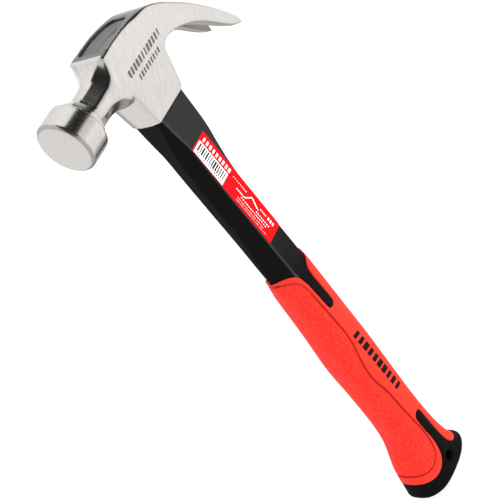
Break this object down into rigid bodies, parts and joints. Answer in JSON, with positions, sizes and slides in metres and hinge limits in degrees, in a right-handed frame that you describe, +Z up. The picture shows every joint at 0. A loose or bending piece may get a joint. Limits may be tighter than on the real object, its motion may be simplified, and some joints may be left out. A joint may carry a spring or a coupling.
{
  "type": "claw hammer",
  "caption": "Curved claw hammer with a forged steel head, a black jacketed fibreglass handle and a red soft grip sleeve.",
  "frame": {"origin": "under the handle's butt, at its lowest level, midway between the striking face and the claw tips and midway across the head", "axes": "+Z up the handle to the head, +X towards the claw, -X out of the striking face, -Y out of the side that carries the label"},
  "size_m": [0.117, 0.028, 0.327],
  "materials": {
    "forged_steel": "satin ground",
    "grey_epoxy": "cast, slightly dished",
    "fibreglass": "pultruded, bare",
    "black_polypropylene": "smooth moulded",
    "red_elastomer": "soft moulded, grained on the palm side",
    "label_film": "printed film"
  },
  "bodies": {
    "root": {"hammer_head": "forged_steel", "eye_resin": "grey_epoxy", "fibreglass_core": "fibreglass", "handle_jacket": "black_polypropylene", "grip_sleeve": "red_elastomer", "side_label": "label_film"}
  },
  "joints": []
}
